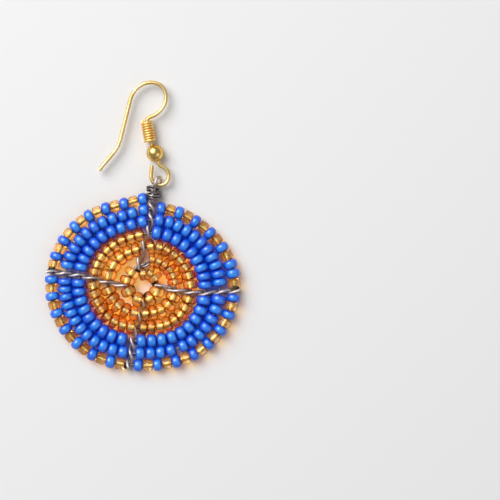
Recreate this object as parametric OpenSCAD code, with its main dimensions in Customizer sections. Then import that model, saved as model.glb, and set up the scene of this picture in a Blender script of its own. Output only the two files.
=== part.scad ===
// Beaded disc earring on a ball-and-coil ear hook, lying face up on a flat surface.
// X runs across the disc, Y runs from the disc up to the hook, Z is the height above the surface.

/* [Beaded disc] */
// Width of the disc over the outer beads
disc_w = 35; // [34:0.5:37]
// Outside diameter of one seed bead
bead_d = 2.3; // [2:0.1:2.5]
// Bare wire left between two bead runs where a spoke passes
spoke_gap = 1.7; // [1.6:0.1:2]
// Clear space kept between neighbouring bead rows
row_gap = 0.1; // [0.05:0.05:0.3]

/* [Steel wire frame] */
// Diameter of the steel wire of the spiral and the spokes
steel_d = 0.4; // [0.3:0.05:0.4]
// Distance from the middle of a spoke to each of its strands, side by side
strand_side = 0.3; // [0.22:0.02:0.32]
// Height of a strand over, or depth under, the middle of its spoke
strand_rise = 0.64; // [0.62:0.02:0.7]

/* [Ear hook] */
// Diameter of the gold-coloured hook wire
hook_d = 0.7; // [0.6:0.05:0.8]
// Straight length of the tail, the end that goes through the ear
tail_len = 4.1; // [4:0.1:6]
// Straight length of the back leg above the tail
leg_len = 7.2; // [6.6:0.2:8]
// Diameter of the ball bead
ball_d = 3; // [2.8:0.1:3.2]
// Outside diameter of the coil under the arch
coil_d = 2.15; // [1.95:0.05:2.2]
// Length of the coil
coil_len = 4; // [3.6:0.1:4.2]
// Number of wraps in the coil
coil_turns = 8; // [7:1:9]

/* [Hidden] */
$fn = 64;

// The spiral winds clockwise from the middle, and a bearing is counted clockwise from the top.
// Reach of the spiral wire from the middle of a 35 mm disc with 2.3 mm beads: one row for
// each turn, one column for each bearing in reach_bearings.
reach_bearings = [5, 15, 45, 90, 135, 180, 225, 270, 315, 345];
reach_table = [
    [2.0, 2.1, 2.2, 2.5, 2.8, 2.9, 3.0, 3.0, 2.9, 3.3],
    [3.6, 4.3, 5.0, 5.6, 5.7, 5.3, 5.9, 6.4, 6.2, 6.2],
    [6.5, 6.9, 7.5, 8.3, 8.5, 7.8, 8.6, 9.0, 8.8, 8.6],
    [9.0, 9.4, 9.9, 10.9, 11.2, 10.2, 11.3, 11.6, 11.2, 10.7],
    [11.3, 11.7, 12.2, 13.5, 13.3, 12.4, 13.5, 14.0, 13.4, 12.6],
    [13.4, 13.8, 14.6, 16.2, 15.7, 14.5, 15.8, 16.5, 15.7, 14.6]];
reach_end = 15.2;
reach_disc_w = 35;
reach_bead_d = 2.3;
// Bearings at which the spokes cross a turn, one row for each turn
RIGHT = 0;
BOTTOM = 1;
LEFT = 2;
TOP = 3;
spoke_table = [
    // right, bottom, left, top at the end of the turn
    [94, 179, 263, 340],
    [101.5, 187, 272, 358],
    [100, 190, 276, 364],
    [99, 191, 277.5, 366.5],
    [96, 190, 277.5, 366],
    [94.5, 190.5, 277.5, 365]];
turns = len(spoke_table);
// The string of beads starts a little before the top, and its second turn after a longer gap
string_start = -12;
second_start = 382;
// A string's rings lie about this far apart along it
ring_step = 1.1 * bead_d;
string_sides = 10;
bead_r = bead_d / 2;
bead_z = bead_r;
deg = 180 / PI;

function pick(list, i) = list[min(max(i, 0), len(list) - 1)];
function unit(v) = v / norm(v);
function backwards(list) = [for (i = [len(list) - 1 : -1 : 0]) list[i]];

// Stations of the whole spiral as bearing and reach, scaled to the width of this disc
reach_scale = (disc_w - bead_d) / (reach_disc_w - reach_bead_d);
stations = concat(
    [for (turn = [0 : turns - 1]) for (i = [0 : len(reach_bearings) - 1])
        [360 * turn + reach_bearings[i], reach_scale * reach_table[turn][i]]],
    [[360 * turns + reach_bearings[0], reach_scale * reach_end]]);
function station_before(bearing) =
    max(concat(0, [for (i = [0 : len(stations) - 2]) if (stations[i][0] <= bearing) i]));
function slope(i) =
    let (a = pick(stations, i - 1), b = pick(stations, i + 1))
    (b[1] - a[1]) / (b[0] - a[0]);

// Reach of the spiral wire at any bearing, smooth through the stations
function reach(bearing) =
    let (
        i = station_before(bearing),
        a = stations[i],
        b = stations[i + 1],
        w = b[0] - a[0],
        s = max(0, (bearing - a[0]) / w),
        rise = b[1] - a[1],
        from_a = slope(i) * w - rise,
        from_b = rise - slope(i + 1) * w)
    a[1] + s * rise + s * (1 - s) * ((1 - s) * from_a + s * from_b);
function on_spiral(bearing) =
    reach(bearing) * [sin(bearing), cos(bearing), 0] + [0, 0, bead_z];

// The four bead runs of a turn lie between its spokes, half a gap away from each
function crossing(turn, spoke) = 360 * turn + spoke_table[turn][spoke];

// A spoke that leans as it passes a row, drifting sideways by lean for each mm outwards,
// is given a wider gap
lean_share = 0.9;
function lean(turn, spoke) =
    let (
        a = max(turn - 1, 0),
        b = min(turn + 1, turns - 1),
        out = reach(crossing(b, spoke)) - reach(crossing(a, spoke)))
    abs(spoke_table[b][spoke] - spoke_table[a][spoke]) / deg
        * reach(crossing(turn, spoke)) / out;
function half_gap(turn, spoke) =
    (spoke_gap / 2 + lean_share * lean(turn, spoke) * bead_r) / reach(crossing(turn, spoke)) * deg;
function run_start(turn, quarter) =
    quarter > RIGHT ? crossing(turn, quarter - 1) + half_gap(turn, quarter - 1)
    : turn == 0 ? string_start
    : turn == 1 ? second_start
    : crossing(turn - 1, TOP) + half_gap(turn - 1, TOP);
function run_end(turn, quarter) = crossing(turn, quarter) - half_gap(turn, quarter);
function run_rings(from, to) =
    max(2, round((to - from) / deg * reach((from + to) / 2) / ring_step));

// Half the width of a bead row towards the next row (+360) or the one inside it (-360)
string_end = crossing(turns - 1, TOP);
function row_half(bearing, to_row) =
    let (next = bearing + to_row)
    next < string_start || next > string_end ? bead_r
    : min(bead_r, abs(reach(next) - reach(bearing)) / 2 - row_gap / 2);

// One ring of a string's tube: a full bead section, or the bare wire's
function string_ring(bearing, bare) =
    let (
        step = 0.5,
        along = unit(on_spiral(bearing + step) - on_spiral(bearing - step)),
        out = [-along[1], along[0], 0],
        flat = 1 / cos(180 / string_sides),
        outer = bare ? steel_d / 2 : row_half(bearing, 360),
        inner = bare ? steel_d / 2 : row_half(bearing, -360),
        high = bare ? steel_d / 2 : bead_r)
    [for (k = [0 : string_sides - 1])
        let (a = 360 * (k + 0.5) / string_sides)
        on_spiral(bearing) + flat * cos(a) * (cos(a) > 0 ? outer : inner) * out
            + sin(a) * high * [0, 0, 1]];

function run_sections(turn, quarter) =
    let (
        from = run_start(turn, quarter),
        to = run_end(turn, quarter),
        count = run_rings(from, to))
    concat(
        turn == 0 && quarter == RIGHT ? [] : [string_ring(from, true)],
        [for (i = [0 : count]) string_ring(from + (to - from) * i / count, false)],
        [string_ring(to, true)],
        crossing(turn, quarter) < string_end ? [string_ring(crossing(turn, quarter), true)] : []);

// Faces of a tube made of rings of points, closed at both ends
function tube_faces(rings, sides) = concat(
    [[for (k = [0 : sides - 1]) k]],
    [for (i = [0 : rings - 2]) for (k = [0 : sides - 1])
        let (a = i * sides + k, b = i * sides + (k + 1) % sides)
        [a, a + sides, b + sides, b]],
    [[for (k = [sides - 1 : -1 : 0]) (rings - 1) * sides + k]]);

// A string of beads over some whole turns, cut in the middle of the top gaps
module string(first, last) {
    rings = concat(
        first > 0 ? [string_ring(crossing(first - 1, TOP), true)] : [],
        [for (turn = [first : last]) for (quarter = [RIGHT : TOP])
            each run_sections(turn, quarter)]);
    polyhedron([for (ring = rings) each ring], tube_faces(len(rings), string_sides));
}

// A wire swept along a route of points, turning no more than the route does
steel_sides = 6;
UP = [0.1, 0.2, 1];
function carried(v, along) = unit(v - (v * along) * along);
module wire(route, d, sides) {
    last = len(route) - 1;
    along = [for (i = [0 : last]) unit(pick(route, i + 1) - pick(route, i - 1))];
    side = [for (i = 0, v = carried(UP, along[0]); i <= last;
        i = i + 1, v = carried(v, pick(along, i))) v];
    polyhedron([for (i = [0 : last]) for (k = [0 : sides - 1])
        let (a = 360 * k / sides)
        route[i] + d / 2 * (cos(a) * side[i] + sin(a) * cross(along[i], side[i]))],
        tube_faces(last + 1, sides));
}

// Points of a smooth curve through hand-chosen ones
function between(a, b, c, d, s) =
    0.5 * (2 * b + (c - a) * s + (2 * a - 5 * b + 4 * c - d) * s * s
        + (3 * b - 3 * c + d - a) * s * s * s);
function smooth(p, steps) = concat(
    [for (i = [0 : len(p) - 2]) for (j = [0 : steps - 1])
        between(pick(p, i - 1), p[i], p[i + 1], pick(p, i + 2), j / steps)],
    [p[len(p) - 1]]);

// A spoke is a pair of strands that change places between two turns of the spiral wire.
// Its middle line runs through its crossings, with a short tail past the first and the last.
inner_tails = [0.15, 0.15, 0.15, 0.1];
outer_tail = 0.35;
twist_steps = 6;
// How far round the pair has turned where it meets the spiral wire; 90 is one strand on top
twist_phase = 60;
function spoke_line(spoke) =
    let (p = [for (turn = [0 : turns - 1]) on_spiral(crossing(turn, spoke))])
    concat([2 * p[0] - p[1]], p, [2 * p[turns - 1] - p[turns - 2]]);
function spoke_at(line, s) =
    let (i = min(max(floor(s), 0), turns - 2), a = line[i + 1], b = line[i + 2])
    s < 0 || s > turns - 1 ? a + (s - i) * (b - a) : between(line[i], a, b, line[i + 3], s - i);
function strand_point(line, s, strand) =
    let (
        step = 0.02,
        along = unit(spoke_at(line, s + step) - spoke_at(line, s - step)),
        phase = twist_phase + 180 * (s + strand))
    spoke_at(line, s) + strand_side * cos(phase) * [along[1], -along[0], 0]
        + strand_rise * sin(phase) * [0, 0, 1];
function strand(spoke, to, which) =
    let (
        line = spoke_line(spoke),
        from = -inner_tails[spoke],
        count = ceil((to - from) * twist_steps))
    [for (i = [0 : count]) strand_point(line, from + (to - from) * i / count, which)];
module spoke(which) {
    for (k = [0, 1])
        wire(strand(which, turns - 1 + outer_tail, k), steel_d, steel_sides);
}

// The ball's middle lies this far right of and above the disc's middle
ball_at = [2.0, reach_scale * reach_end + 8.0, ball_d / 2];
ball_heading = 111;
// Rows of the hook wire from the ball up: straight run, bend radius, bend to the left
hook_up = [
    [2.05, 1.2, -11.5],
    [coil_len - 0.45, 0.6, -80],
    [0.3, 4.2, 39],
    [0, 3.2, 53],
    [0, 2.3, 54],
    [0, 3.4, 44],
    [0, 4.2, 46.5],
    [leg_len, 6, -26]];
// Rows of the hook wire from the ball down, round its bottom loop
hook_down = [
    [2.0, 0.8, 38],
    [0.7, 1.6, -60],
    [0.2, 1.5, -110],
    [0.1, 1.55, -74],
    [1.8, 0, 0]];
bend_step = 10;

// Place and heading after a row, or after a share of its bend
function after(at, row, share = 1) =
    let (
        side = sign(row[2]) * row[1],
        start = at[2],
        end = start + share * row[2])
    [at[0] + row[0] * cos(start) + side * (sin(end) - sin(start)),
        at[1] + row[0] * sin(start) + side * (cos(start) - cos(end)), end];
function before(at, rows, i) = i == 0 ? at : after(before(at, rows, i - 1), rows[i - 1]);
function row_route(at, row) =
    let (count = ceil(abs(row[2]) / bend_step))
    concat(
        row[0] > 0 ? [after(at, row, 0)] : [],
        count > 0 ? [for (k = [1 : count]) after(at, row, k / count)] : []);
function bent_route(at, rows) =
    [for (i = [0 : len(rows) - 1]) for (p = row_route(before(at, rows, i), rows[i]))
        [p[0], p[1], ball_at[2]]];

up_start = [ball_at[0], ball_at[1], ball_heading];
down_start = [ball_at[0], ball_at[1], ball_heading + 180];
up_route = bent_route(up_start, hook_up);
down_route = bent_route(down_start, hook_down);
tail_at = before(up_start, hook_up, len(hook_up));
// The bent wire reaches this far into the round tail
tail_lap = 0.5;
hook_sides = 12;
// The bent wire is this much thinner, to lie inside the tail's round surface
tail_inset = 0.01;
module bent_hook() {
    end = [tail_at[0], tail_at[1], ball_at[2]];
    wire(concat(backwards(down_route), [ball_at], up_route,
        [end + tail_lap * [cos(tail_at[2]), sin(tail_at[2]), 0]]), hook_d - tail_inset, hook_sides);
    translate(end) rotate([0, 90, tail_at[2]]) cylinder(d = hook_d, h = tail_len);
}

// The top spoke is one wire: it runs out as the upper strand, over the bottom loop of the
// hook, round under it and back in as the lower strand. Points are given from the ball's
// middle, with their own height.
loop_points = [
    [-0.5, -8.0, 1.5],
    [-0.4, -7.4, 1.55],
    [-0.25, -6.8, 1.55],
    [-0.15, -6.2, 1.6],
    [-0.02, -5.75, 2.05],
    [0.1, -5.3, 2.25],
    [0.22, -4.85, 2.2],
    [0.45, -4.42, 1.95],
    [0.88, -4.3, 1.45],
    [1.12, -4.65, 1.0],
    [0.95, -5.1, 0.72],
    [0.5, -5.5, 0.72],
    [0.05, -5.9, 0.82],
    [-0.15, -6.4, 0.9],
    [-0.25, -7.1, 0.9],
    [-0.6, -8.0, 0.9]];
// The end of the spiral wire is wound round the neck under the loop in two close pairs.
// One row for each wrap: its middle across, its place along the neck, its middle height,
// half its width and half its height.
wrap_rows = [
    [-0.25, -8.1, 1.2, 1.0, 1.0],
    [-0.25, -7.66, 1.2, 0.97, 0.97],
    [-0.3, -7.15, 1.2, 0.92, 0.97],
    [-0.4, -6.55, 1.22, 0.9, 1.0],
    [-0.43, -6.11, 1.3, 0.9, 1.08]];
wrap_steps = 8;
function wrap_at(t) =
    let (
        i = min(floor(t), len(wrap_rows) - 2),
        row = wrap_rows[i] + (t - i) * (wrap_rows[i + 1] - wrap_rows[i]))
    [row[0] + row[3] * sin(360 * t), row[1], row[2] + row[4] * cos(360 * t)];
curve_steps = 3;
function from_ball(points) = [for (p = points) [ball_at[0] + p[0], ball_at[1] + p[1], p[2]]];
module hanger() {
    // The strands leave the spoke's own line a little before the rim
    to = turns - 1.4;
    wire(concat(strand(TOP, to, 1), from_ball(smooth(loop_points, curve_steps)),
        backwards(strand(TOP, to, 0))),
        steel_d, steel_sides);
}
module wraps() {
    count = (len(wrap_rows) - 1) * wrap_steps;
    wire(from_ball([for (i = [0 : count]) wrap_at(i / wrap_steps)]), steel_d, steel_sides);
}

// The coil round the hook wire
coil_slit = 0.02;
coil_wire_d = coil_len / (coil_turns + 1) - coil_slit;
coil_steps = 12;
// The coil starts this far before the straight run that it sits on, and sits to its left
coil_foot = 0.2;
coil_aside = 0.08;
module coil() {
    at = before(up_start, hook_up, 1);
    count = coil_turns * coil_steps;
    r = (coil_d - coil_wire_d) / 2;
    pitch_len = coil_len - coil_wire_d;
    along = [cos(at[2]), sin(at[2]), 0];
    across = [-sin(at[2]), cos(at[2]), 0];
    foot = [at[0], at[1], ball_at[2]] + (coil_wire_d / 2 - coil_foot) * along
        + coil_aside * across;
    wire([for (i = [0 : count])
        let (a = 360 * i / coil_steps)
        foot + pitch_len * i / count * along
            + r * (cos(a) * across + sin(a) * [0, 0, 1])], coil_wire_d, steel_sides);
}

// The ball bead is bored along the hook wire
bore_clearance = 0.1;
module bored_ball() {
    rotate([0, 90, ball_heading]) rotate_extrude() intersection() {
        circle(d = ball_d);
        translate([(hook_d + bore_clearance) / 2, -ball_d / 2]) square(ball_d);
    }
}

// The disc's middle is set so that the whole part is centred over the origin
rim_step = 5;
rim = [for (bearing = [string_end - 360 : rim_step : string_end]) on_spiral(bearing)];
low_x = min([for (p = rim) p[0]]) - bead_r;
high_x = max([for (p = rim) p[0]]) + bead_r;
low_y = min([for (p = rim) p[1]]) - bead_r;
high_y = max([for (p = up_route) p[1]]) + hook_d / 2;
shift = [-(low_x + high_x) / 2, -(low_y + high_y) / 2, 0];

module amber_rows() {
    color("#d98a1f") translate(shift) string(0, 2);
}

module blue_rows() {
    color("#2a5fe0") translate(shift) string(3, 4);
}

module edge_row() {
    color("#5f83c9") translate(shift) string(5, 5);
}

module spoke_top() {
    color("#8d8d92") translate(shift) hanger();
}

module spoke_right() {
    color("#8d8d92") translate(shift) spoke(RIGHT);
}

module spoke_bottom() {
    color("#8d8d92") translate(shift) spoke(BOTTOM);
}

module spoke_left() {
    color("#8d8d92") translate(shift) spoke(LEFT);
}

module loop_wrap() {
    color("#77777d") translate(shift) wraps();
}

module ear_wire() {
    color("#e6b84a") translate(shift) bent_hook();
}

module hook_coil() {
    color("#e0b040") translate(shift) coil();
}

module hook_ball() {
    color("#e6b84a") translate(shift + ball_at) bored_ball();
}

amber_rows();
blue_rows();
edge_row();
spoke_top();
spoke_right();
spoke_bottom();
spoke_left();
loop_wrap();
ear_wire();
hook_coil();
hook_ball();
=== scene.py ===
"""Beaded disc earring on a ball-and-coil ear hook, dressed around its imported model.

The disc lies face up on the floor. X runs across it, Y runs up to the hook, Z is height.
Sizes are in millimetres in the classes and become metres in the meshes.
"""

import logging
import math
from dataclasses import dataclass, replace
from enum import Enum

import bpy
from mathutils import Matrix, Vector

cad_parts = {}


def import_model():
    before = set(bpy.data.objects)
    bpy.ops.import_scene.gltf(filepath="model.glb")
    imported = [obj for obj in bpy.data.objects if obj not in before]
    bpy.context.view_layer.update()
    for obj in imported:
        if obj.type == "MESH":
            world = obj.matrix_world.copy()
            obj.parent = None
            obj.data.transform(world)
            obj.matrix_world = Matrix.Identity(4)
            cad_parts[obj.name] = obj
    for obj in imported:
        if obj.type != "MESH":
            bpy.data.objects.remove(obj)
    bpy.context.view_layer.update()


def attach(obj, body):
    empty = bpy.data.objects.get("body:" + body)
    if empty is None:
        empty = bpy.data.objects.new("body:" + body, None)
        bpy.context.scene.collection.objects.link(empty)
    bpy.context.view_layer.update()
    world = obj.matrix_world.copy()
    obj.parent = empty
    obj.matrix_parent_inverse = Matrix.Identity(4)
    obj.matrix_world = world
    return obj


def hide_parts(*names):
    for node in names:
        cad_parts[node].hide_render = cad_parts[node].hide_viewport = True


MM = 0.001
BODY = "root"
log = logging.getLogger("earring")

# The disc's middle and the ball's middle in the frame of the model
DISC_MIDDLE = Vector((0.15, -10.2042, 0.0))
BALL_MIDDLE = Vector((2.15, 12.9958, 1.5))
BEAD_DIAMETER = 2.3
SPIRAL_WIRE_DIAMETER = 0.4
UP = Vector((0, 0, 1))

Tree = bpy.types.NodeTree
Node = bpy.types.Node
Material = bpy.types.Material
Colour = tuple[float, float, float, float]
Row = tuple[float, float, float]
Profile = list[tuple[float, float]]
Route = list[Vector]


class Spoke(Enum):
    """The four spokes, each with its column in the table of crossings."""

    RIGHT = 0
    BOTTOM = 1
    LEFT = 2
    TOP = 3


class BeadKind(Enum):
    """The kinds of bead on a string, each with its number in the guide's attribute."""

    PLAIN = 0
    GOLD = 1


def linear(hex_colour: str) -> Colour:
    """Turns an sRGB hex colour into linear red, green, blue and alpha.

    Args:
        hex_colour: Six hex digits after a hash.

    Returns:
        The four linear values.
    """
    parts = [int(hex_colour[i : i + 2], 16) / 255 for i in (1, 3, 5)]
    lin = [c / 12.92 if c <= 0.04045 else ((c + 0.055) / 1.055) ** 2.4 for c in parts]
    return (lin[0], lin[1], lin[2], 1.0)


def add_node(tree: Tree, kind: str, inputs: dict | None = None, **settings: object) -> Node:
    """Adds a node with its settings, and fills its inputs with values or links.

    Args:
        tree: The tree that gets the node.
        kind: The node's type name.
        inputs: Input name or number, and what feeds it: a value, an output, a node, which
            gives its first output in use, or a list of nodes that are joined.
        **settings: Properties of the node.

    Returns:
        The new node.
    """
    node = tree.nodes.new(kind)
    for name, value in settings.items():
        setattr(node, name, value)
    for name, given in (inputs or {}).items():
        for value in given if isinstance(given, list) else [given]:
            if isinstance(value, Node):
                value = next(output for output in value.outputs if output.enabled)
            if isinstance(value, bpy.types.NodeSocket):
                tree.links.new(value, node.inputs[name])
            else:
                node.inputs[name].default_value = value
    return node


def set_stops(ramp: Node, stops: list[tuple[float, str]]) -> Node:
    """Gives a colour ramp its stops.

    Args:
        ramp: The ramp.
        stops: Place and sRGB hex colour of each stop.

    Returns:
        The same ramp.
    """
    elements = ramp.color_ramp.elements
    while len(elements) < len(stops):
        elements.new(1.0)
    for element, (place_along, colour) in zip(elements, stops):
        element.position = place_along
        element.color = linear(colour)
    return ramp


def add_object(name: str, data: bpy.types.ID) -> bpy.types.Object:
    """Adds an object to the scene.

    Args:
        name: The object's name.
        data: Its mesh, lamp or camera.

    Returns:
        The object.
    """
    item = bpy.data.objects.new(name, data)
    bpy.context.scene.collection.objects.link(item)
    return item


@dataclass(frozen=True)
class Finish:
    """What a surface is made of and how it was worked, with patterns of real sizes.

    Args:
        name: What it is, in a maker's words.
    """

    name: str

    def surface(self, tree: Tree) -> Node:
        """Adds the nodes that the finish is made of, and gives the last."""
        raise NotImplementedError

    def build(self) -> Material:
        """Builds the material.

        Returns:
            The material, named for the finish.
        """
        mat = bpy.data.materials.new(self.name)
        mat.use_nodes = True
        mat.node_tree.nodes.clear()
        last = self.surface(mat.node_tree)
        add_node(mat.node_tree, "ShaderNodeOutputMaterial", {"Surface": last})
        return mat

    def patches(self, tree: Tree, size_mm: float, detail: float) -> Node:
        """Adds uneven patches all over the surface.

        Args:
            tree: The material's tree.
            size_mm: Their real size.
            detail: How many finer sizes are mixed in.

        Returns:
            The node that carries them, from 0 to 1.
        """
        coords = add_node(tree, "ShaderNodeTexCoord").outputs["Object"]
        scale = 1 / (size_mm * MM)
        inputs = {"Vector": coords, "Scale": scale, "Detail": detail}
        return add_node(tree, "ShaderNodeTexNoise", inputs)

    def relief(
        self, tree: Tree, size_mm: float, detail: float, depth_mm: float, strength: float
    ) -> Node:
        """Adds small bumps all over the surface.

        Args:
            tree: The material's tree.
            size_mm: Their real size.
            detail: How many finer sizes are mixed in.
            depth_mm: Their real height.
            strength: How much of it shows.

        Returns:
            The node that carries the bumped direction of the surface.
        """
        height = self.patches(tree, size_mm, detail)
        inputs = {"Height": height, "Strength": strength, "Distance": depth_mm * MM}
        return add_node(tree, "ShaderNodeBump", inputs)


@dataclass(frozen=True)
class BeadGlass(Finish):
    """Seed bead glass, drawn as a drilled cane, cut, and tumbled hot until its edges round.

    The eye sees a smooth bright skin and colour that differs a little from bead to bead.

    Args:
        pale: Colour of the glass where the eye looks straight into it.
        middle: Colour between.
        deep: Colour at the rim and at the cut ends. At the cut ends, and at the rims of opaque
            glass, it is painted shade.
        stops: How deep the glass looks at each of the three colours.
        passing: Colour of the light that a bead lets through its middle.
        rim: Colour of the light that it lets through its rim.
        gather: How much it gathers light through its middle.
        clear: Share of the light that goes into the glass, 0 for opaque glass.
        roughness: Roughness of its skin.
        drift: How much the colour differs from bead to bead.
        streak_mm: Size of the cloudy streaks in the melt.
        ripple_mm: Size of the ripples left by tumbling.
        ripple_depth_mm: Their depth.
        ripple: How much of them shows.
        rim_band: Where the rim starts and where it is full, 0 in the middle of a bead.
        ior: Its index of refraction.
        coat_roughness: Roughness of the fire-polished skin of opaque glass.
    """

    pale: str
    middle: str
    deep: str
    stops: Row
    passing: str
    rim: str
    gather: float
    clear: float
    roughness: float
    drift: float = 0.25
    streak_mm: float = 0.6
    ripple_mm: float = 0.4
    ripple_depth_mm: float = 0.05
    ripple: float = 0.15
    rim_band: tuple[float, float] = (0.2, 0.6)
    ior: float = 1.52
    coat_roughness: float = 0.08

    def tone(self, tree: Tree) -> Node:
        """How deep the glass looks, from 0 for pale to 1 for deep.

        Clear glass looks deeper where the eye looks along its skin, because it sees through
        more of it. The darker cut ends, and the side beside blue beads that the same attribute
        carries, are painted shade, and on opaque glass the darker rim is painted shade too.

        Args:
            tree: The material's tree.

        Returns:
            The node that carries the tone.
        """
        shade, end = (
            add_node(tree, "ShaderNodeAttribute", attribute_name=name).outputs["Fac"]
            for name in ("bead_shade", "bead_end")
        )
        streaks = self.patches(tree, self.streak_mm, 2.0)
        mixed = add_node(tree, "ShaderNodeMath", {0: shade, 1: streaks}, operation="ADD")
        inputs = {0: mixed, 1: self.drift, 2: -self.drift}
        drift = add_node(tree, "ShaderNodeMath", inputs, operation="MULTIPLY_ADD")
        rim = add_node(tree, "ShaderNodeLayerWeight", {"Blend": 0.5}).outputs["Facing"]
        # Depth at the rim, with painted shade at the cut ends and beside blue beads; on opaque
        # glass the rim is painted shade as well
        depth = add_node(tree, "ShaderNodeMath", {0: rim, 1: end}, operation="MAXIMUM")
        inputs = {0: depth, 1: drift}
        return add_node(tree, "ShaderNodeMath", inputs, operation="ADD", use_clamp=True)

    def on_entry(self, tree: Tree, colour: Node) -> Node:
        """Tints light where it goes into the glass, and not again where it leaves.

        Args:
            tree: The material's tree.
            colour: The node that carries the glass's colour.

        Returns:
            The node that carries the tint.
        """
        leaving = add_node(tree, "ShaderNodeNewGeometry").outputs["Backfacing"]
        inputs = {"Fac": leaving, "Color1": colour, "Color2": (1, 1, 1, 1)}
        return add_node(tree, "ShaderNodeMixRGB", inputs)

    def passing_light(self, tree: Tree) -> Node:
        """The glass as lamps and the floor see it, which tints what lies near a bead.

        A bead gathers light through its middle and holds it back at its rim.

        Args:
            tree: The material's tree.

        Returns:
            The node that lets the light through.
        """
        gathered = (*(self.gather * part for part in linear(self.passing)[:3]), 1.0)
        slant = add_node(tree, "ShaderNodeLayerWeight", {"Blend": 0.5}).outputs["Facing"]
        start, full = self.rim_band
        inputs = {"Value": slant, "From Min": start, "From Max": full}
        at_rim = add_node(tree, "ShaderNodeMapRange", inputs)
        inputs = {"Fac": at_rim, "Color1": gathered, "Color2": linear(self.rim)}
        tint = self.on_entry(tree, add_node(tree, "ShaderNodeMixRGB", inputs))
        return add_node(tree, "ShaderNodeBsdfTransparent", {"Color": tint})

    def surface(self, tree: Tree) -> Node:
        """Adds the glass that the eye sees, and the light that passes through it.

        Args:
            tree: The material's tree.

        Returns:
            The node that mixes the two.
        """
        colour = set_stops(
            add_node(tree, "ShaderNodeValToRGB", {"Fac": self.tone(tree)}),
            list(zip(self.stops, (self.pale, self.middle, self.deep))),
        )
        ripples = self.relief(tree, self.ripple_mm, 1.0, self.ripple_depth_mm, self.ripple)
        seen = add_node(
            tree,
            "ShaderNodeBsdfPrincipled",
            {
                "Base Color": self.on_entry(tree, colour) if self.clear else colour,
                "Roughness": self.roughness,
                "IOR": self.ior,
                "Transmission Weight": self.clear,
                "Coat Weight": 0.0 if self.clear else 1.0,
                "Coat Roughness": self.coat_roughness,
                "Normal": ripples,
            },
        )
        path = add_node(tree, "ShaderNodeLightPath").outputs
        inputs = {0: path["Is Shadow Ray"], 1: path["Is Diffuse Ray"]}
        unseen = add_node(tree, "ShaderNodeMath", inputs, operation="MAXIMUM")
        inputs = {0: unseen, 1: seen, 2: self.passing_light(tree)}
        return add_node(tree, "ShaderNodeMixShader", inputs)


@dataclass(frozen=True)
class BrightMetal(Finish):
    """Metal wire, a plated ball or the gold lining of a bead's hole.

    The eye sees bright reflections that break up where the surface is stained or scratched.

    Args:
        dark: Colour of the stains. On the two darker steel finishes both colours are darkened
            as painted shade.
        bright: Colour of the clean metal.
        edge: Tint of what it mirrors at a slant.
        stain_mm: Size of the stains.
        roughness: Roughness of the clean metal and of the stains.
        scratch_mm: Size of the marks left by the die or the polish. Real ones are far finer
            than a pixel, so they are drawn this coarse to show.
        scratch: How much of them shows.
        scratch_depth_mm: Their depth.
        colour_band: Where in the patches the colour starts and ends its change.
        rough_band: Where in the patches the roughness starts and ends its change.
    """

    dark: str
    bright: str
    edge: str
    stain_mm: float
    roughness: tuple[float, float]
    scratch_mm: float
    scratch: float
    scratch_depth_mm: float = 0.02
    colour_band: tuple[float, float] = (0.3, 0.62)
    rough_band: tuple[float, float] = (0.3, 0.7)

    def surface(self, tree: Tree) -> Node:
        """Adds the metal, with its stains and scratches.

        Args:
            tree: The material's tree.

        Returns:
            The metal's node.
        """
        stain = self.patches(tree, self.stain_mm, 3.0)
        colour = set_stops(
            add_node(tree, "ShaderNodeValToRGB", {"Fac": stain}),
            list(zip(self.colour_band, (self.dark, self.bright))),
        )
        clean, stained = self.roughness
        low, high = self.rough_band
        inputs = {
            "Value": stain,
            "From Min": low,
            "From Max": high,
            "To Min": stained,
            "To Max": clean,
        }
        rough = add_node(tree, "ShaderNodeMapRange", inputs)
        depth, strength = self.scratch_depth_mm, self.scratch
        inputs = {
            "Base Color": colour,
            "Metallic": 1.0,
            "Specular Tint": linear(self.edge),
            "Roughness": rough,
            "Normal": self.relief(tree, self.scratch_mm, 2.0, depth, strength),
        }
        return add_node(tree, "ShaderNodeBsdfPrincipled", inputs)


@dataclass(frozen=True)
class MattBoard(Finish):
    """Board with a rolled coat of paint, which gives the eye an even pale floor.

    Args:
        colour: Its colour.
        roughness: Its roughness.
    """

    colour: str
    roughness: float

    def surface(self, tree: Tree) -> Node:
        """Adds the paint."""
        inputs = {"Base Color": linear(self.colour), "Roughness": self.roughness}
        return add_node(tree, "ShaderNodeBsdfPrincipled", inputs)


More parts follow.
